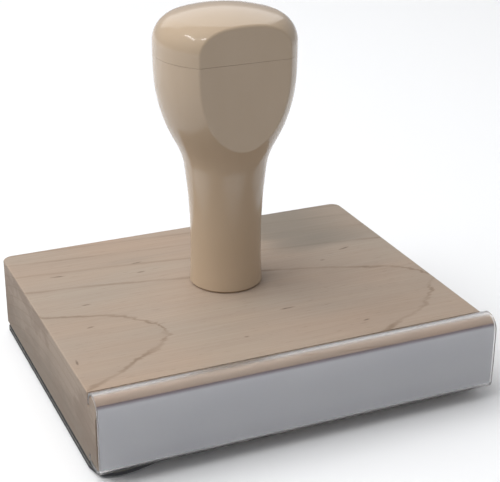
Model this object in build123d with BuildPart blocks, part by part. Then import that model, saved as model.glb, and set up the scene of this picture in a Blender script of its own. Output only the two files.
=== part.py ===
"""Wood-mounted rubber stamp with a moulded knob handle and a clear index strip.

Millimetres, +Z up, +X along the front edge, -Y towards the index strip.
The origin is the middle of the printing face: the stamp stands on its rubber die.
"""
from build123d import *

import os
from math import atan2, cos, degrees, radians, sin, sqrt

# ---- overall sizes ----
block_length = 108.0        # along the moulding, X
stamp_depth = 91.7          # front of the clear strip to the back of the wood, Y
wood_thickness = 19.3       # nominal 3/4 inch moulding
handle_height = 76.8        # above the wood
handle_setback = 53.1       # handle's axis behind the front of the clear strip

# ---- printing layers under the wood ----
relief_height = 0.7
die_base = 1.0
tape_thickness = 0.15
foam_thickness = 1.6
pad_left_gap = 0.2          # layers' edges inside the block's ends and back
pad_right_gap = 0.7
pad_back_gap = 0.8

# ---- pattern of the die ----
border_end_margin = 8.0     # border line inside the block's ends
border_side_margin = 11.0
border_middle = (0, 4.5)
border_radius = 5.0
border_lines = ((0.0, 1.4), (3.0, 0.7))     # (how far in, width) of the two lines
corner_ring_inset = 9.0
corner_ring_radius = 3.2
line_width = 1.1
dot_radius = 0.8
eye_radius = 6.0
eye_dots = 6
eye_dot_circle = 2.9
petals = 12
petal_circle = 15.9         # petals' middles
petal_length = 16.0
petal_width = 6.4

# ---- maple moulding ----
wood_face_setback = 2.05    # wood's front face behind the strip's front
bead_radius = 2.7
bead_drop = 2.2             # bead's centre below the wood's top
back_corner_radius = 3.0
groove_play = 0.6           # under the end of the strip's hook
eased_edge = 0.5

# ---- clear index strip and card ----
strip_wall = 0.75
strip_corner_radius = 2.0   # outside, lower front corner
strip_taper = 0.25          # lower front leg leans in by this
strip_taper_top = 8.0       # height above the wood's underside where the lean starts
strip_underside = 0.1       # above the wood's underside
strip_lip_height = 2.1
strip_lip_y = 8.0           # middle of the lip's wall, from the strip's front
strip_tail = 0.7            # straight end of the hook, below the bead's centre
strip_lip_corner = 0.7      # middle line's radius where the lip turns up
strip_leg_bend = 20.0       # where the front leg starts to lean in
strip_play = 0.3            # running clearance between the strip and the wood
card_thickness = 0.22
card_gap = 0.07             # card to the strip, and to the bead
card_bottom = 1.3           # above the wood's underside
card_top = 18.7
card_length = 107.4

# ---- handle ----
base_radius = 10.05
base_edge = 0.6             # bevel at the foot of the handle
cap_height = 11.8           # from the seam between the body and the cap up to the top
seam_gap = 0.06
flat_distance = 14.05       # the flat in front and the flat behind, from the axis
flat_draft = 0.25           # the flats lean in by this towards their lower end
flat_length = 19.0          # how far they reach below the seam
crease_radius = 0.9         # softens the edge round each flat
wall = 2.2
grip_radius = 18.82         # at the seam
shoulder_radius = 7.2       # between the side and the dome
dome_radius = 46.3
spigot_depth = 5.0
spigot_play = 0.1
spigot_wall = 1.6
cap_hollow = 5.0            # depth of the cap's hollow above the seam
ledge_width = 1.2           # inside the body, where the cap's spigot seats
cavity_length = 33.0        # from where the shank's bore opens into the grip's cavity up to the seam
floor_thickness = 8.0
shank_bore = 6.8
peg_radius = 1.4
peg_length = 3.0
peg_spacing = 13.0
peg_play = 0.05
peg_hole_play = 0.4         # below the end of a peg

# ---- fixing screw and washer ----
screw_radius = 2.1
screw_core = 1.45
screw_pitch = 1.8
screw_length = 25.0         # under the head
screw_point = 4.0
head_radius = 4.0
head_height = 2.8
drive_width = 1.3
drive_span = 4.6
drive_depth = 1.8
drive_taper = 8
head_rounding = 1.4         # bevel round the top of the head
thread_root_share = 0.35    # of the pitch, from a crest's middle to its foot
thread_crest_share = 0.06
screw_play = 0.2
washer_radius = 6.2
washer_thickness = 1.2

# ---- worked out from the sizes above ----
die_thickness = relief_height + die_base
foam_bottom = die_thickness + tape_thickness
foam_top = foam_bottom + foam_thickness
wood_bottom = foam_top + tape_thickness
wood_top = wood_bottom + wood_thickness
front = -stamp_depth / 2
handle_y = front + handle_setback
bead_centre_z = wood_thickness - bead_drop
strip_radius = bead_radius + 2 * card_gap + card_thickness + strip_wall / 2
bead_centre_y = strip_radius + strip_wall / 2
seam_height = handle_height - cap_height
flat_foot = seam_height - flat_length
cavity_start = seam_height - cavity_length
washer_seat = floor_thickness
screw_seat = washer_seat + washer_thickness

# Side of the turned grip, up to where the shoulder starts: (height above the wood, radius),
# with heights for a seam at profile_seam, which stretch with the handle
profile_seam = 65.0
side_profile = [
    (6, 9.75), (13, 9.68), (21, 9.88), (28, 10.4), (33, 10.95), (36, 11.45), (39, 12.5), (42, 14.0),
    (45, 15.45), (48, 16.6), (51, 17.46), (54, 18.1), (58, 18.6), (63, 18.8),
]

end_plane = Plane(origin=(-block_length / 2, front, wood_bottom), x_dir=(0, 1, 0), z_dir=(1, 0, 0))
handle_base = Plane(origin=(0, handle_y, wood_top))
handle_axis = Axis((0, handle_y, 0), (0, 0, 1))

os.makedirs("parts", exist_ok=True)


# ---------------------------------------------------------------- printing layers
def pad_outline():
    """Outline shared by the die, the foam and the tapes, trimmed by hand at the front."""
    left = pad_left_gap - block_length / 2
    right = block_length / 2 - pad_right_gap
    back = -front - pad_back_gap
    with BuildSketch() as outline:
        with BuildLine():
            edge = Spline(
                (left + 1.3, front + 5.6),
                (left + 5.5, front + 4.2),
                (left + 17, front + 6.3),
                (left + 30, front + 7.9),
                (left + 56, front + 8.8),
                (right, front + 9.2),
            )
            Polyline(edge @ 1, (right, back), (left, back), (left, front + 10), edge @ 0)
        make_face()
        fillet(outline.vertices().group_by(Axis.Y)[-1], radius=back_corner_radius - pad_back_gap)
    return outline.sketch


def pad_layer(bottom, thickness, label):
    """One flat layer with the shared outline."""
    with BuildPart() as layer:
        with BuildSketch(Plane.XY.offset(bottom)):
            add(pad_outline())
        extrude(amount=thickness)
    layer.part.label = label
    export_step(layer.part, f"parts/{label}.step")


border_length = block_length - 2 * border_end_margin
border_depth = stamp_depth - 2 * border_side_margin

with BuildPart() as rubber_die:
    with BuildSketch(Plane.XY.offset(relief_height)):
        add(pad_outline())
    extrude(amount=die_base)
    with BuildSketch() as border:
        with Locations(border_middle):
            for inset, width in border_lines:
                RectangleRounded(
                    border_length - 2 * inset, border_depth - 2 * inset, border_radius
                )
                RectangleRounded(
                    border_length - 2 * (inset + width),
                    border_depth - 2 * (inset + width),
                    border_radius - width,
                    mode=Mode.SUBTRACT,
                )
            ring_places = GridLocations(
                border_length - 2 * corner_ring_inset, border_depth - 2 * corner_ring_inset, 2, 2
            )
            with ring_places:
                Circle(corner_ring_radius)
                Circle(corner_ring_radius - line_width, mode=Mode.SUBTRACT)
                Circle(dot_radius)
    extrude(amount=relief_height)
    with BuildSketch() as flower:
        with Locations(border_middle):
            Circle(eye_radius)
            Circle(eye_radius - line_width, mode=Mode.SUBTRACT)
            with PolarLocations(eye_dot_circle, eye_dots):
                Circle(dot_radius)
            with PolarLocations(petal_circle, petals):
                Ellipse(petal_length / 2, petal_width / 2)
                Ellipse(
                    petal_length / 2 - line_width,
                    petal_width / 2 - line_width,
                    mode=Mode.SUBTRACT,
                )
    extrude(amount=relief_height)
rubber_die.part.label = "rubber_die"
export_step(rubber_die.part, "parts/rubber_die.step")

pad_layer(die_thickness, tape_thickness, "die_tape")
pad_layer(foam_bottom, foam_thickness, "foam_cushion")
pad_layer(foam_top, tape_thickness, "cushion_tape")

# ---------------------------------------------------------------- maple block
groove_back = bead_centre_y + strip_radius + strip_wall / 2 + strip_play
groove_floor = bead_centre_z - strip_tail - groove_play
rebate_top = strip_underside + strip_wall + strip_play
lip_slot_front = strip_lip_y - strip_wall / 2 - strip_play
lip_slot_back = strip_lip_y + strip_wall / 2 + strip_play
lip_slot_top = strip_underside + strip_lip_height + strip_play
bead_meets_face = bead_centre_z - sqrt(bead_radius**2 - (bead_centre_y - wood_face_setback) ** 2)

with BuildPart() as mount_block:
    with BuildSketch(end_plane):
        with BuildLine():
            face = Line((wood_face_setback, rebate_top), (wood_face_setback, bead_meets_face))
            bead = ThreePointArc(
                face @ 1,
                (bead_centre_y - bead_radius * sin(radians(45)),
                 bead_centre_z + bead_radius * cos(radians(45))),
                (bead_centre_y + bead_radius, bead_centre_z),
            )
            Polyline(
                bead @ 1,
                (bead_centre_y + bead_radius, groove_floor),
                (groove_back, groove_floor),
                (groove_back, wood_thickness),
                (stamp_depth, wood_thickness),
                (stamp_depth, 0),
                (lip_slot_back, 0),
                (lip_slot_back, lip_slot_top),
                (lip_slot_front, lip_slot_top),
                (lip_slot_front, rebate_top),
                face @ 0,
            )
        make_face()
    extrude(amount=block_length)
    back_face = mount_block.faces().sort_by(Axis.Y)[-1]
    fillet(back_face.edges().filter_by(Axis.Z), radius=back_corner_radius)
    top_face = mount_block.faces().filter_by(Axis.Z).sort_by(Axis.Z)[-1]
    front_line = top_face.edges().filter_by(Axis.X).sort_by(Axis.Y)[0]
    fillet([e for e in top_face.edges() if e != front_line], radius=eased_edge)
    with Locations((0, handle_y, wood_top)):
        Hole(screw_core, depth=screw_length - screw_seat)
    with Locations(handle_base):
        with GridLocations(peg_spacing, 1, 2, 1):
            Hole(peg_radius + peg_play, depth=peg_length + peg_hole_play)
mount_block.part.label = "mount_block"
export_step(mount_block.part, "parts/mount_block.step")


# ---------------------------------------------------------------- index strip and card
def strip_line(inset):
    """Path of the strip's section, from the hook behind the bead to the lip under the block.

    inset moves the path towards the wood, so that the card can follow the strip.
    """
    radius = strip_radius - inset
    mid_y = strip_wall / 2 + inset
    low_z = strip_underside + strip_wall / 2 + inset
    corner = strip_corner_radius - strip_wall / 2 - inset
    with BuildLine() as path:
        hook = CenterArc((bead_centre_y, bead_centre_z), radius, 0, 180)
        Line((bead_centre_y + radius, bead_centre_z - strip_tail), hook @ 0)
        leg = FilletPolyline(
            hook @ 1,
            (mid_y, strip_taper_top),
            (mid_y + strip_taper, low_z),
            (strip_lip_y, low_z),
            (strip_lip_y, strip_underside + strip_lip_height),
            radius=(strip_leg_bend, corner, strip_lip_corner),
        )
    return path.line


with BuildPart() as index_strip:
    with BuildSketch(end_plane):
        trace(strip_line(0), line_width=strip_wall)
    extrude(amount=block_length)
index_strip.part.label = "index_strip"
export_step(index_strip.part, "parts/index_strip.step")

card_inset = strip_wall / 2 + card_gap + card_thickness / 2
card_plane = end_plane.offset((block_length - card_length) / 2)
with BuildPart() as index_card:
    with BuildSketch(card_plane) as card_section:
        trace(strip_line(card_inset), line_width=card_thickness)
        with Locations((0, (card_bottom + card_top) / 2)):
            Rectangle(2 * bead_centre_y, card_top - card_bottom, mode=Mode.INTERSECT)
    extrude(amount=card_length)
index_card.part.label = "index_card"
export_step(index_card.part, "parts/index_card.step")


# ---------------------------------------------------------------- handle
dome_centre = handle_height - dome_radius
shoulder_height = dome_centre + sqrt(
    (dome_radius - shoulder_radius) ** 2 - (grip_radius - shoulder_radius) ** 2
)
shoulder_turn = degrees(atan2(shoulder_height - dome_centre, grip_radius - shoulder_radius))


def axial_plane(height):
    """Upright plane through the handle's axis, with its origin this far above the wood."""
    return Plane(origin=(0, handle_y, wood_top + height), x_dir=(1, 0, 0), z_dir=(0, -1, 0))


def turned_grip(inset=0.0):
    """The grip as turned, with its two flats, and every surface moved in by inset."""
    stretch = seam_height / profile_seam
    with BuildPart() as grip:
        with BuildSketch(axial_plane(0)):
            with BuildLine():
                side = Spline(
                    (base_radius - inset, 0),
                    *[(radius - inset, height * stretch) for height, radius in side_profile],
                    (grip_radius - inset, shoulder_height),
                    tangents=((-0.06, 1), (0, 1)),
                )
                CenterArc(
                    (grip_radius - shoulder_radius, shoulder_height),
                    shoulder_radius - inset,
                    0,
                    shoulder_turn,
                )
                dome = CenterArc(
                    (0, dome_centre), dome_radius - inset, shoulder_turn, 90 - shoulder_turn
                )
                Polyline(dome @ 1, (0, 0), side @ 0)
            make_face()
        revolve(axis=handle_axis)
        reach = 2 * grip_radius
        with BuildSketch(Plane(origin=(0, handle_y, wood_top), x_dir=(0, 1, 0), z_dir=(1, 0, 0))):
            with BuildLine():
                Polyline(
                    (flat_distance - flat_draft - inset, flat_foot),
                    (flat_distance - inset, seam_height),
                    (flat_distance - inset, handle_height + 1),
                    (reach, handle_height + 1),
                    (reach, 0),
                    (flat_distance - flat_draft * seam_height / (seam_height - flat_foot) - inset, 0),
                    close=True,
                )
            make_face()
            mirror(about=Plane.YZ)
        extrude(amount=reach, both=True, mode=Mode.SUBTRACT)
    return grip


def grip_section(height, inset):
    """Level outline of the grip at the seam, moved in by inset, drawn at this height."""
    with BuildSketch(handle_base.offset(height)) as section:
        Circle(grip_radius - inset)
        Rectangle(2 * grip_radius, 2 * (flat_distance - inset), mode=Mode.INTERSECT)
    return section.sketch


ledge_height = seam_height - spigot_depth - spigot_play
cap_wall = wall + spigot_play + spigot_wall
grip = turned_grip()
cavity = turned_grip(wall + ledge_width)

with BuildPart() as handle_form:
    add(grip.part)
    flats = handle_form.faces().filter_by(GeomType.PLANE).filter_by(lambda f: abs(f.normal_at().Y) > 0.9)
    rims = [edge for edge in flats.edges() if edge.geom_type != GeomType.LINE]
    fillet(rims, radius=crease_radius)

with BuildPart() as body_cavity:
    add(cavity.part)
    split(bisect_by=handle_base.offset(cavity_start), keep=Keep.TOP)
    split(bisect_by=handle_base.offset(ledge_height), keep=Keep.BOTTOM)

with BuildPart() as handle_body:
    add(handle_form.part)
    split(bisect_by=handle_base.offset(seam_height), keep=Keep.BOTTOM)
    foot = handle_body.faces().filter_by(Axis.Z).sort_by(Axis.Z)[0]
    chamfer(foot.edges(), length=base_edge)
    add(body_cavity.part, mode=Mode.SUBTRACT)
    with Locations(handle_base.offset(floor_thickness)):
        Cylinder(
            shank_bore,
            cavity_start + 1 - floor_thickness,
            align=(Align.CENTER, Align.CENTER, Align.MIN),
            mode=Mode.SUBTRACT,
        )
    extrude(grip_section(ledge_height, wall), amount=spigot_depth + 1, mode=Mode.SUBTRACT)
    with Locations(handle_base):
        Cylinder(screw_radius + screw_play, 3 * floor_thickness, mode=Mode.SUBTRACT)
        with GridLocations(peg_spacing, 1, 2, 1):
            Cylinder(peg_radius, peg_length, align=(Align.CENTER, Align.CENTER, Align.MAX))
handle_body.part.label = "handle_body"
export_step(handle_body.part, "parts/handle_body.step")

with BuildPart() as handle_cap:
    add(handle_form.part)
    split(bisect_by=handle_base.offset(seam_height + seam_gap), keep=Keep.TOP)
    extrude(grip_section(seam_height - spigot_depth, wall + spigot_play), amount=spigot_depth + 1)
    hollow = grip_section(seam_height - spigot_depth, cap_wall)
    extrude(hollow, amount=spigot_depth + cap_hollow, mode=Mode.SUBTRACT)
handle_cap.part.label = "handle_cap"
export_step(handle_cap.part, "parts/handle_cap.step")

# ---------------------------------------------------------------- washer and screw
washer_plane = handle_base.offset(washer_seat)
with BuildPart() as screw_washer:
    with BuildSketch(washer_plane):
        Circle(washer_radius)
        Circle(screw_radius + screw_play, mode=Mode.SUBTRACT)
    extrude(amount=washer_thickness)
screw_washer.part.label = "screw_washer"
export_step(screw_washer.part, "parts/screw_washer.step")

thread_turns = int((screw_length - screw_point) / screw_pitch)
with BuildPart() as handle_screw:
    with BuildSketch(axial_plane(screw_seat)):
        with BuildLine():
            outline = [(0, head_height), (head_radius - head_rounding, head_height)]
            outline += [(head_radius, head_height - head_rounding), (head_radius, 0), (screw_core, 0)]
            for turn in range(thread_turns):
                crest = -screw_pitch * (turn + 0.5)
                outline += [
                    (screw_core, crest + thread_root_share * screw_pitch),
                    (screw_radius, crest + thread_crest_share * screw_pitch),
                    (screw_radius, crest - thread_crest_share * screw_pitch),
                    (screw_core, crest - thread_root_share * screw_pitch),
                ]
            outline += [(screw_core, screw_point - screw_length), (0, -screw_length)]
            Polyline(*outline, close=True)
        make_face()
    revolve(axis=handle_axis)
    with BuildSketch(handle_base.offset(screw_seat + head_height)):
        Rectangle(drive_span, drive_width)
        Rectangle(drive_width, drive_span)
    extrude(amount=-drive_depth, taper=drive_taper, mode=Mode.SUBTRACT)
handle_screw.part.label = "handle_screw"
export_step(handle_screw.part, "parts/handle_screw.step")
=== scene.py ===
"""Looks of a wood-mounted rubber stamp with a moulded knob handle and a clear index strip."""
from math import radians

import bpy
from mathutils import Matrix, Vector


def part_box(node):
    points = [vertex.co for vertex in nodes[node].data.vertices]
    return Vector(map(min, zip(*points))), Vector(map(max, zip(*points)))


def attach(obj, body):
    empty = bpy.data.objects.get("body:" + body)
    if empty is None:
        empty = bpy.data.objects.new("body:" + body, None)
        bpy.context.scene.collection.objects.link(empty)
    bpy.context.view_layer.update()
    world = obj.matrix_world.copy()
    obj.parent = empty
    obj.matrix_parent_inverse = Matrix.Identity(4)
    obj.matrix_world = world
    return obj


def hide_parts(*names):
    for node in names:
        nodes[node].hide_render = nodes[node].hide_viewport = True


MM = 0.001                       # the scene is in metres, and the sizes of patterns in millimetres

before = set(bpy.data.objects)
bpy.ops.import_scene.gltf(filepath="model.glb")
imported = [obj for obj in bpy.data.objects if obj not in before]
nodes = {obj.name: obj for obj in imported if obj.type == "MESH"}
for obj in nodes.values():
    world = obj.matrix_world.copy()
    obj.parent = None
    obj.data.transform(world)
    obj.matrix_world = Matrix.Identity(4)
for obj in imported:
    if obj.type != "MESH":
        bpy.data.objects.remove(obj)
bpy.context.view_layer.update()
bead_rise = 0.5                  # how far the bead stands above the wood's flat top
wood_top_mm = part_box("mount_block")[1].z / MM - bead_rise
card_top_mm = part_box("index_card")[1].z / MM

# ---------------------------------------------------------------- camera
camera_place = Vector((-0.1256, -0.2967, 0.1773))
camera_turn = (
    Matrix.Rotation(radians(-23.47), 4, "Z")
    @ Matrix.Rotation(radians(66.54), 4, "X")
    @ Matrix.Rotation(radians(0.16), 4, "Z")
)
camera_data = bpy.data.cameras.new("camera")
camera_data.sensor_width = 36
camera_data.lens = 94.03
camera_data.shift_x = 0.006
camera_data.shift_y = -0.0026
camera = bpy.data.objects.new("camera", camera_data)
camera.matrix_world = Matrix.Translation(camera_place) @ camera_turn
bpy.context.scene.collection.objects.link(camera)
bpy.context.scene.camera = camera
bpy.context.scene.view_settings.view_transform = "Standard"


# ---------------------------------------------------------------- material tools
def colour(hex_code):
    """A linear colour from an sRGB hex code."""
    parts = [int(hex_code[i:i + 2], 16) / 255 for i in (1, 3, 5)]
    linear = [p / 12.92 if p <= 0.04045 else ((p + 0.055) / 1.055) ** 2.4 for p in parts]
    return (*linear, 1.0)


def add_node(tree, kind, values=None, output=0, **settings):
    """Adds a shader node, sets or links its inputs from values, and gives one output."""
    made = tree.nodes.new("ShaderNode" + kind)
    for name, setting in settings.items():
        setattr(made, name, setting)
    for name, value in (values or {}).items():
        if isinstance(value, bpy.types.NodeSocket):
            tree.links.new(value, made.inputs[name])
        else:
            made.inputs[name].default_value = value
    return made.outputs[output] if made.outputs else None


def new_material(name):
    """A material, its node tree, and the object's own coordinates in millimetres."""
    material = bpy.data.materials.new(name)
    material.use_nodes = True
    tree = material.node_tree
    tree.nodes.clear()
    place = add_node(tree, "TexCoord", output="Object")
    mm = add_node(tree, "VectorMath", {0: place, "Scale": 1 / MM}, operation="SCALE")
    return material, tree, mm


def span(value, low, high, to_low=0.0, to_high=1.0):
    """Settings that take value from low..high to to_low..to_high, held past the ends."""
    return {"Value": value, "From Min": low, "From Max": high, "To Min": to_low, "To Max": to_high}


def clouded(tree, mm, grain, detail=2.0, roughness=0.5, spread=(0.3, 0.7), result=(0.0, 1.0)):
    """A cloudy pattern with features of grain millimetres, its spread taken to result."""
    stretched = add_node(tree, "Mapping", {"Vector": mm, "Scale": [1 / size for size in grain]})
    cloud = add_node(
        tree,
        "TexNoise",
        {"Vector": stretched, "Scale": 1.0, "Detail": detail, "Roughness": roughness},
    )
    return add_node(tree, "MapRange", span(cloud, *spread, *result))


def tinted(tree, base, layers):
    """Colours laid over base in turn, each where its pattern is and as strongly as its share."""
    for pattern, share, tint in layers:
        strength = add_node(tree, "Math", {0: pattern, 1: share}, operation="MULTIPLY")
        base = add_node(
            tree, "Mix", {0: strength, 6: base, 7: colour(tint)}, output=2, data_type="RGBA"
        )
    return base


# ---------------------------------------------------------------- maple
ring_run = 80.0           # along the board, from one cathedral point to the next
ring_width = 3.0          # across the growth rings
point_x = 54.0            # where one cathedral point lies on the board's top
point_y = -13.0           # the cathedral's middle line
arm_back = 0.10           # how fast the arms run back, per mm: behind the middle line
arm_front = 0.048         # in front of it
ring_wander = 2.5         # how far a ring line strays in long waves
ring_jag = 1.2            # and in short ones
line_core = 0.1           # half the width of a ring line's dark core
line_edge = 0.85          # where the line has faded out
fleck_half_width = 0.42
fleck_half_depth = 0.6    # into the wood
wood_relief = 0.03

# Mineral flecks on the top: (x, y, length, turn in degrees)
flecks = [
    (-42.8, 26.4, 5.4, -8), (-52.0, -23.3, 3.4, 84), (39.8, 12.9, 4.8, 14), (30.2, 7.8, 1.8, 0),
    (-43.4, -6.6, 2.8, 12), (7.9, -16.3, 5.2, 2), (-40.6, 6.3, 3.2, -2), (-20.3, 20.4, 3.2, 4),
    (-19.5, 26.8, 4.0, 6), (24.0, -30.5, 2.4, 10), (-8.5, -27.0, 1.6, 0),
]


def make_maple():
    """Hard maple, planed and bare: pale, with thin brown ring lines, flecks and a dull sheen."""
    material, tree, mm = new_material("hard_maple_planed")
    x, y, z = (add_node(tree, "SeparateXYZ", {0: mm}, output=axis) for axis in "XYZ")

    # growth rings: cylinders about a pith well under the board, which runs out towards +X
    across = add_node(tree, "Math", {0: y, 1: point_y}, operation="SUBTRACT")
    squared = add_node(tree, "Math", {0: across, 1: across}, operation="MULTIPLY")
    arm = add_node(
        tree,
        "MapRange",
        span(across, -1.0, 1.0, arm_front, arm_back),
        interpolation_type="SMOOTHSTEP",
    )
    run = add_node(tree, "Math", {0: squared, 1: arm, 2: x}, operation="MULTIPLY_ADD")
    depth = add_node(tree, "Math", {0: z, 1: wood_top_mm}, operation="SUBTRACT")
    steepness = ring_run / ring_width
    run = add_node(tree, "Math", {0: depth, 1: steepness, 2: run}, operation="MULTIPLY_ADD")
    wander = clouded(tree, mm, (34, 11, 11), 1.0, result=(-ring_wander, ring_wander))
    jagged = clouded(tree, mm, (5, 1.6, 1.6), 3.0, 0.6, result=(-ring_jag, ring_jag))
    for stray in (wander, jagged):
        run = add_node(tree, "Math", {0: run, 1: stray}, operation="ADD")
    from_point = add_node(tree, "Math", {0: run, 1: point_x}, operation="SUBTRACT")
    ring = add_node(tree, "Math", {0: from_point, 1: ring_run}, operation="DIVIDE")
    late = add_node(tree, "Math", {0: ring}, operation="FRACT")
    nearest = add_node(tree, "Math", {0: ring}, operation="ROUND")
    beside = add_node(tree, "Math", {0: ring, 1: nearest}, operation="SUBTRACT")
    beside = add_node(tree, "Math", {0: beside}, operation="ABSOLUTE")

    # distance from the nearest ring line, square to it
    half_slope = add_node(tree, "Math", {0: across, 1: arm}, operation="MULTIPLY")
    slope = add_node(tree, "Math", {0: half_slope, 1: 2.0}, operation="MULTIPLY")
    slope = add_node(tree, "Math", {0: slope, 1: slope, 2: 1.0}, operation="MULTIPLY_ADD")
    slope = add_node(tree, "Math", {0: slope}, operation="SQRT")
    off_line = add_node(tree, "Math", {0: beside, 1: ring_run}, operation="MULTIPLY")
    off_line = add_node(tree, "Math", {0: off_line, 1: slope}, operation="DIVIDE")

    # a ring line comes and goes, and is fainter at the back of the board
    patchy = clouded(tree, mm, (16, 6, 6), 2.0, spread=(0.35, 0.62), result=(0.25, 1.0))
    fainter = add_node(
        tree, "MapRange", span(y, 8.0, 24.0, 1.0, 0.5), interpolation_type="SMOOTHSTEP"
    )
    patchy = add_node(tree, "Math", {0: patchy, 1: fainter}, operation="MULTIPLY")
    core = add_node(
        tree,
        "MapRange",
        span(off_line, line_core, line_edge, 1.0, 0.0),
        interpolation_type="SMOOTHSTEP",
    )
    line = add_node(tree, "Math", {0: core, 1: patchy}, operation="MULTIPLY")
    shade = add_node(tree, "Math", {0: late, 1: 5.0}, operation="POWER")
    fine = clouded(tree, mm, (26, 0.5, 0.5), 3.0, 0.65)
    streak = clouded(tree, mm, (70, 3.5, 3.5))
    patch = clouded(tree, mm, (46, 24, 24))
    pore = clouded(tree, mm, (3.4, 0.34, 0.34), 1.0, spread=(0.66, 0.78))

    # painted shadow: a broad grey-brown patch in the back right of the board, where the handle's
    # soft shadow falls
    from_left = add_node(tree, "MapRange", span(x, 4.0, 30.0), interpolation_type="SMOOTHSTEP")
    from_front = add_node(tree, "MapRange", span(y, 8.0, 30.0), interpolation_type="SMOOTHSTEP")
    inward = add_node(tree, "Math", {0: from_left, 1: from_front}, operation="ADD")
    uneven = clouded(tree, mm, (40, 9, 9), result=(-0.25, 0.25))
    inward = add_node(tree, "Math", {0: inward, 1: uneven}, operation="ADD")
    handle_shadow = add_node(tree, "MapRange", span(inward, 1.0, 1.9), interpolation_type="SMOOTHSTEP")
    paler = add_node(
        tree, "MapRange", span(x, 34.0, 58.0, 1.0, 0.35), interpolation_type="SMOOTHSTEP"
    )
    handle_shadow = add_node(tree, "Math", {0: handle_shadow, 1: paler}, operation="MULTIPLY")

    marks = 0.0
    for fleck_x, fleck_y, length, turn in flecks:
        turned = add_node(
            tree,
            "Mapping",
            {
                "Vector": mm,
                "Location": (fleck_x, fleck_y, wood_top_mm),
                "Rotation": (0, 0, radians(turn)),
                "Scale": (length / 2, fleck_half_width, fleck_half_depth),
            },
            vector_type="TEXTURE",
        )
        far = add_node(tree, "VectorMath", {0: turned}, output="Value", operation="LENGTH")
        mark = add_node(
            tree, "MapRange", span(far, 0.35, 1.05, 1.0, 0.0), interpolation_type="SMOOTHSTEP"
        )
        marks = add_node(tree, "Math", {0: mark, 1: marks}, operation="MAXIMUM")
    ragged = clouded(tree, mm, (1.6, 0.4, 0.4), 2.0, 0.6, (0.3, 0.6), (0.2, 1.0))
    marks = add_node(tree, "Math", {0: marks, 1: ragged}, operation="MULTIPLY")

    face = tinted(
        tree,
        colour("#AE9F8F"),
        [
            (patch, 1.0, "#B39C88"),
            (streak, 0.3, "#A09082"),
            (fine, 0.2, "#937F6F"),
            (shade, 0.13, "#8F7C69"),
            (pore, 0.3, "#7A6652"),
            (line, 0.6, "#77604A"),
            # painted shadow of the handle, laid into the wood's colour
            (handle_shadow, 0.8, "#80786C"),
            (marks, 0.75, "#54402F"),
        ],
    )

    # end grain: greyer low down and blotched, with rings as close arcs and the saw's marks
    sloping = clouded(tree, mm, (9, 14, 4), result=(-3.0, 3.0))
    level = add_node(tree, "Math", {0: depth, 1: sloping}, operation="ADD")
    high_up = add_node(tree, "MapRange", span(level, -16.0, -3.0), interpolation_type="SMOOTHSTEP")
    arcs = add_node(
        tree, "MapRange", span(beside, 0.0, 0.09, 1.0, 0.0), interpolation_type="SMOOTHSTEP"
    )
    blotch = clouded(tree, mm, (8, 20, 9), 4.0, 0.6, (0.46, 0.54))
    dots = clouded(tree, mm, (0.45, 0.45, 0.45), 2.0, 0.6)
    sawn = clouded(tree, mm, (6, 0.5, 14), 2.0, 0.6)
    cut = tinted(
        tree,
        colour("#8A7E73"),
        [
            (high_up, 1.0, "#A8988A"),
            (blotch, 0.55, "#85756A"),
            (arcs, 0.28, "#74644F"),
            (dots, 0.25, "#83735F"),
            (sawn, 0.16, "#857766"),
        ],
    )

    # the two ends are where the surface cuts across the fibres
    sideways = add_node(
        tree, "SeparateXYZ", {0: add_node(tree, "TexCoord", output="Normal")}, output="X"
    )
    sideways = add_node(tree, "Math", {0: sideways}, operation="ABSOLUTE")
    end = add_node(tree, "MapRange", span(sideways, 0.55, 0.85), interpolation_type="SMOOTHSTEP")

    sunk = add_node(tree, "Math", {0: pore, 1: -0.8}, operation="MULTIPLY")
    height = add_node(tree, "Math", {0: fine, 1: -0.6, 2: sunk}, operation="MULTIPLY_ADD")
    height = add_node(tree, "Math", {0: marks, 1: -1.2, 2: height}, operation="MULTIPLY_ADD")
    end_height = add_node(tree, "Math", {0: dots, 1: 0.8, 2: sawn}, operation="MULTIPLY_ADD")
    height = add_node(tree, "Mix", {0: end, 2: height, 3: end_height})
    planed = add_node(
        tree, "MapRange", span(fine, 0.0, 1.0, 0.56, 0.68), interpolation_type="SMOOTHSTEP"
    )
    tinted_wood = add_node(tree, "Mix", {0: end, 6: face, 7: cut}, output=2, data_type="RGBA")
    wood = add_node(
        tree,
        "BsdfPrincipled",
        {
            "Base Color": tinted_wood,
            "Roughness": add_node(tree, "Mix", {0: end, 2: planed, 3: 0.78}),
            "IOR": 1.5,
            "Specular IOR Level": 0.35,
            "Normal": add_node(
                tree, "Bump", {"Height": height, "Distance": wood_relief * MM, "Strength": 1.0}
            ),
        },
    )
    add_node(tree, "OutputMaterial", {"Surface": wood})
    return material


# ---------------------------------------------------------------- plastics
def make_handle_plastic():
    """Ivory polystyrene, moulded and glossy: crisp glints, slightly wavy on the flats."""
    material, tree, mm = new_material("ivory_polystyrene_moulded")
    cloud = clouded(tree, mm, (18, 18, 26))
    flow = clouded(tree, mm, (5, 5, 22), 3.0, 0.55)
    handled = clouded(tree, mm, (1.1, 1.1, 3.0), 3.0, 0.6, (0.35, 0.75), (0.12, 0.2))
    waves = clouded(tree, mm, (9, 9, 9))
    plastic = add_node(
        tree,
        "BsdfPrincipled",
        {
            "Base Color": tinted(
                tree, colour("#BBA58B"), [(cloud, 1.0, "#BFA990"), (flow, 0.12, "#B29C80")]
            ),
            "Roughness": handled,
            "IOR": 1.55,
            "Normal": add_node(
                tree, "Bump", {"Height": waves, "Distance": 0.02 * MM, "Strength": 1.0}
            ),
        },
    )
    add_node(tree, "OutputMaterial", {"Surface": plastic})
    return material


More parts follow.
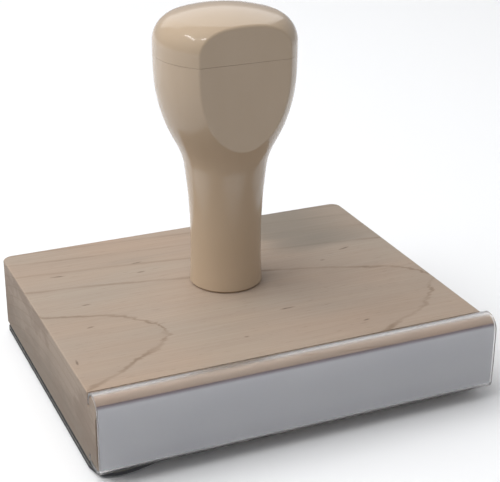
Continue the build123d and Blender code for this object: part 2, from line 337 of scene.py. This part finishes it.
def make_clear_vinyl():
    """Clear extruded vinyl: the card and the bead show through it, under a soft, hazed shine."""
    material, tree, mm = new_material("clear_vinyl_extruded")
    drawn = clouded(tree, mm, (60, 1.1, 1.1), 2.0, 0.6)
    clear = add_node(
        tree,
        "BsdfPrincipled",
        {
            "Base Color": colour("#F5F4F4"),
            "Roughness": 0.27,
            "IOR": 1.46,
            "Transmission Weight": 1.0,
            "Normal": add_node(
                tree, "Bump", {"Height": drawn, "Distance": 0.004 * MM, "Strength": 1.0}
            ),
        },
    )
    # lamps shine through it, so that the card isn't in its shadow
    let_through = add_node(tree, "BsdfTransparent", {"Color": colour("#F1F0F0")})
    shadow = add_node(tree, "LightPath", output="Is Shadow Ray")
    mixed = add_node(tree, "MixShader", {0: shadow, 1: clear, 2: let_through})
    add_node(tree, "OutputMaterial", {"Surface": mixed})
    return material


# ---------------------------------------------------------------- card, rubber, foam, tape, steel
def make_card():
    """Uncoated white card: dead matt, faintly clouded by its fibres, with painted shade darkening
    its cut edges and a band along its top.
    """
    material, tree, mm = new_material("uncoated_white_card")
    fibre = clouded(tree, mm, (0.7, 0.3, 0.5), 3.0, 0.6)
    cloud = clouded(tree, mm, (14, 6, 6))
    # painted shade: the cut edges and a band along the top go purple-brown for the shadow in the
    # gap under the bead
    forward = add_node(
        tree, "SeparateXYZ", {0: add_node(tree, "TexCoord", output="Normal")}, output="Y"
    )
    forward = add_node(tree, "Math", {0: forward}, operation="ABSOLUTE")
    cut = add_node(
        tree, "MapRange", span(forward, 0.5, 0.7, 1.0, 0.0), interpolation_type="SMOOTHSTEP"
    )
    height = add_node(tree, "SeparateXYZ", {0: mm}, output="Z")
    # painted shadow in the gap between the card's top and the bead
    gap_shadow = add_node(
        tree,
        "MapRange",
        span(height, card_top_mm - 0.9, card_top_mm - 0.1),
        interpolation_type="SMOOTHSTEP",
    )
    gap_shadow = add_node(tree, "Math", {0: gap_shadow, 1: 0.8}, operation="MULTIPLY")
    wear_and_shade = add_node(tree, "Math", {0: cut, 1: gap_shadow}, operation="MAXIMUM")
    paper = add_node(
        tree,
        "BsdfPrincipled",
        {
            "Base Color": tinted(
                tree,
                colour("#CFD1D6"),
                # the last layer is painted shade on the edges and along the top
                [(cloud, 1.0, "#D4D6DA"), (fibre, 0.1, "#C2C4C9"), (wear_and_shade, 1.0, "#6B5860")],
            ),
            "Roughness": 0.85,
            "IOR": 1.45,
            "Normal": add_node(
                tree, "Bump", {"Height": fibre, "Distance": 0.01 * MM, "Strength": 1.0}
            ),
        },
    )
    add_node(tree, "OutputMaterial", {"Surface": paper})
    return material


def make_die_rubber():
    """Laser-engraved natural rubber: charcoal, dry and dusty, with a fine pitted floor."""
    material, tree, mm = new_material("engraved_rubber")
    pits = clouded(tree, mm, (0.35, 0.35, 0.35), 3.0, 0.65)
    dust = clouded(tree, mm, (9, 9, 3), 3.0, 0.6, (0.4, 0.7))
    rubber = add_node(
        tree,
        "BsdfPrincipled",
        {
            "Base Color": tinted(
                tree, colour("#303032"), [(pits, 1.0, "#3D3D40"), (dust, 0.3, "#525254")]
            ),
            "Roughness": add_node(
                tree, "MapRange", span(dust, 0.0, 1.0, 0.72, 0.9), interpolation_type="SMOOTHSTEP"
            ),
            "IOR": 1.52,
            "Normal": add_node(
                tree, "Bump", {"Height": pits, "Distance": 0.06 * MM, "Strength": 1.0}
            ),
        },
    )
    add_node(tree, "OutputMaterial", {"Surface": rubber})
    return material


def make_foam():
    """Closed-cell cushion foam, cut by hand: charcoal, with open cells along its cut edge."""
    material, tree, mm = new_material("cushion_foam_cut")
    cell_size = 0.45
    scaled = add_node(tree, "Mapping", {"Vector": mm, "Scale": [1 / cell_size] * 3})
    cells = add_node(tree, "TexVoronoi", {"Vector": scaled, "Scale": 1.0}, output="Distance")
    torn = clouded(tree, mm, (2.5, 2.5, 1.0), 3.0, 0.6, (0.38, 0.66))
    opened = add_node(tree, "MapRange", span(cells, 0.15, 0.65), interpolation_type="SMOOTHSTEP")
    foam = add_node(
        tree,
        "BsdfPrincipled",
        {
            "Base Color": tinted(
                tree, colour("#262627"), [(opened, 1.0, "#434344"), (torn, 0.4, "#5E5F5C")]
            ),
            "Roughness": 0.92,
            "IOR": 1.4,
            "Normal": add_node(
                tree, "Bump", {"Height": opened, "Distance": 0.15 * MM, "Strength": 1.0}
            ),
        },
    )
    add_node(tree, "OutputMaterial", {"Surface": foam})
    return material


def make_tape():
    """Double-sided mounting tape: a waxy, slightly yellowed film, dirty along its edge."""
    material, tree, mm = new_material("mounting_tape")
    dirt = clouded(tree, mm, (3, 3, 3), 3.0, 0.6)
    film = tinted(tree, colour("#8B857A"), [(dirt, 1.0, "#6B675F")])
    tape = add_node(tree, "BsdfPrincipled", {"Base Color": film, "Roughness": 0.5, "IOR": 1.48})
    add_node(tree, "OutputMaterial", {"Surface": tape})
    return material


def make_zinc_steel():
    """Bright zinc-plated steel: cool grey with a fine turned grain and soft smudges."""
    material, tree, mm = new_material("zinc_plated_steel")
    turned = clouded(tree, mm, (2.0, 2.0, 0.08), 2.0, 0.6)
    smudge = clouded(tree, mm, (3, 3, 3))
    wear_and_shade = add_node(
        tree, "MapRange", span(smudge, 0.0, 1.0, 0.26, 0.4), interpolation_type="SMOOTHSTEP"
    )
    steel = add_node(
        tree,
        "BsdfPrincipled",
        {
            "Base Color": tinted(tree, colour("#B9BCC0"), [(smudge, 1.0, "#A6A9AF")]),
            "Metallic": 1.0,
            "Roughness": wear_and_shade,
            "Normal": add_node(
                tree, "Bump", {"Height": turned, "Distance": 0.004 * MM, "Strength": 1.0}
            ),
        },
    )
    add_node(tree, "OutputMaterial", {"Surface": steel})
    return material


foam_finish = make_foam()
finishes = [
    (make_maple(), ["mount_block"]),
    (make_handle_plastic(), ["handle_body", "handle_cap"]),
    (make_zinc_steel(), ["handle_screw", "screw_washer"]),
    (make_clear_vinyl(), ["index_strip"]),
    (make_card(), ["index_card"]),
    (make_die_rubber(), ["rubber_die"]),
    (make_tape(), ["die_tape", "cushion_tape"]),
]
for finish, names in finishes:
    for name in names:
        for material_slot in nodes[name].material_slots:
            material_slot.material = finish


# ---------------------------------------------------------------- foam cushion
longest_edge = 1.2 * MM          # along the cushion's outline, after subdividing
level_within = longest_edge / 9  # an edge this near level is part of the outline
edge_rounds = 7                  # halvings that bring every edge of the outline under it
edge_cuts = 4                    # cuts up the height of the edge
tear_size = 1.6 * MM
tear_pull = 1.1 * MM
tear_middle = 0.75               # most of the tear goes inwards
torn_at_faces = 0.25             # how much of the tear reaches the foam's two faces
torn_inside = 1.5                # and how much faster it grows towards the middle


def select_edges(piece, wanted):
    """Selects the edges of a mesh whose two ends pass the test wanted, and nothing else."""
    mesh = piece.data
    for part in (mesh.polygons, mesh.edges, mesh.vertices):
        part.foreach_set("select", [False] * len(part))
    for edge in mesh.edges:
        first, second = (mesh.vertices[i].co for i in edge.vertices)
        edge.select = bool(wanted(first, second))
    bpy.context.tool_settings.mesh_select_mode = (False, True, False)


def subdivide(cuts):
    """Cuts the selected edges of the active piece."""
    bpy.ops.object.mode_set(mode="EDIT")
    bpy.ops.mesh.subdivide(number_cuts=cuts)
    bpy.ops.object.mode_set(mode="OBJECT")


def make_cushion():
    """The foam under the block, with an unevenly cut and torn edge."""
    bpy.ops.object.select_all(action="DESELECT")
    low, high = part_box("foam_cushion")
    thickness = high.z - low.z
    piece = bpy.data.objects.new("cushion_foam", nodes["foam_cushion"].data.copy())
    bpy.context.scene.collection.objects.link(piece)
    bpy.context.view_layer.objects.active = piece
    piece.select_set(True)
    bpy.ops.object.mode_set(mode="EDIT")
    bpy.ops.mesh.select_all(action="SELECT")
    bpy.ops.mesh.remove_doubles(threshold=0.01 * MM)
    bpy.ops.mesh.dissolve_limited(angle_limit=radians(1))
    bpy.ops.object.mode_set(mode="OBJECT")

    for _ in range(edge_rounds):
        select_edges(
            piece,
            lambda a, b: abs(a.z - b.z) < level_within and (a - b).length > longest_edge,
        )
        subdivide(1)
    select_edges(piece, lambda a, b: abs(a.z - b.z) > thickness / 2)
    subdivide(edge_cuts)

    edge = piece.vertex_groups.new(name="cut_edge")
    for vertex in piece.data.vertices:
        inside = min(vertex.co.z - low.z, high.z - vertex.co.z) / thickness
        edge.add([vertex.index], torn_at_faces + torn_inside * inside, "REPLACE")
    tear = bpy.data.textures.new("tear", "CLOUDS")
    tear.noise_scale = tear_size
    tear.noise_depth = 3
    pull = piece.modifiers.new("tear", "DISPLACE")
    pull.texture = tear
    pull.texture_coords = "LOCAL"
    pull.direction = "NORMAL"
    pull.vertex_group = "cut_edge"
    pull.mid_level = tear_middle
    pull.strength = tear_pull
    bpy.ops.object.modifier_apply(modifier="tear")
    for vertex in piece.data.vertices:
        vertex.co.z = min(max(vertex.co.z, low.z), high.z)
    bpy.ops.object.shade_smooth_by_angle(angle=radians(40))
    piece.data.materials.clear()
    piece.data.materials.append(foam_finish)
    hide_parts("foam_cushion")
    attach(piece, "block")


make_cushion()

# ---------------------------------------------------------------- floor and light
bpy.ops.object.select_all(action="DESELECT")
bpy.ops.mesh.primitive_plane_add(size=6.0, location=(0, 0, 0))
floor = bpy.context.object
floor.name = "floor"
floor_finish, floor_tree, _ = new_material("pale_floor")
floor_paint = add_node(
    floor_tree, "BsdfPrincipled", {"Base Color": colour("#FCFCFC"), "Roughness": 0.9}
)
add_node(floor_tree, "OutputMaterial", {"Surface": floor_paint})
floor.data.materials.append(floor_finish)
floor.visible_diffuse = False    # the lower half of the sky gives the floor's bounce instead

world = bpy.data.worlds.new("studio")
world.use_nodes = True
background = world.node_tree.nodes["Background"]
background.inputs["Color"].default_value = colour("#F4F6FA")
upward = add_node(
    world.node_tree,
    "SeparateXYZ",
    {0: add_node(world.node_tree, "TexCoord", output="Generated")},
    output="Z",
)
brightness = add_node(
    world.node_tree,
    "MapRange",
    span(upward, -0.15, 0.05, 0.54, 0.45),
    interpolation_type="SMOOTHSTEP",
)
world.node_tree.links.new(brightness, background.inputs["Strength"])
bpy.context.scene.world = world

middle = Vector((0, 0, 0.04))    # what the lamps face
tube_width = 0.03


def add_lamp(name, place, size, watts, lights=True, shines=True, roll=0.0):
    """A rectangular lamp facing the middle, which lights surfaces, shines in them or both."""
    data = bpy.data.lights.new(name, "AREA")
    data.shape = "RECTANGLE"
    data.size, data.size_y = size
    data.energy = watts
    lamp = bpy.data.objects.new(name, data)
    aim = (middle - Vector(place)).to_track_quat("-Z", "Y").to_matrix().to_4x4()
    lamp.matrix_world = Matrix.Translation(place) @ aim @ Matrix.Rotation(roll, 4, "Z")
    lamp.visible_diffuse = lights
    lamp.visible_glossy = shines
    bpy.context.scene.collection.objects.link(lamp)


def add_tube(name, one_end, other_end, watts):
    """A narrow strip light between two points, which is only a glint in glossy surfaces."""
    one, other = Vector(one_end), Vector(other_end)
    centre = (one + other) / 2
    aim = (middle - centre).to_track_quat("-Z", "Y").to_matrix()
    along = aim.inverted() @ (other - one)
    roll = Vector((along.x, along.y)).angle_signed(Vector((1, 0)))
    add_lamp(name, centre, ((other - one).length, tube_width), watts, lights=False, roll=roll)


add_lamp("left_softbox", (-0.67, 0.23, 1.10), (1.6, 1.6), 20.5, shines=False)
add_lamp("back_panel", (0.3, 1.3, 0.95), (1.8, 1.0), 5.0, lights=False)
add_tube("tube_left", (-0.95, 0.47, 1.31), (-1.11, -0.10, 1.25), 1.6)
add_tube("tube_front", (-0.95, -0.29, 1.36), (-0.75, -0.30, 1.48), 0.7)
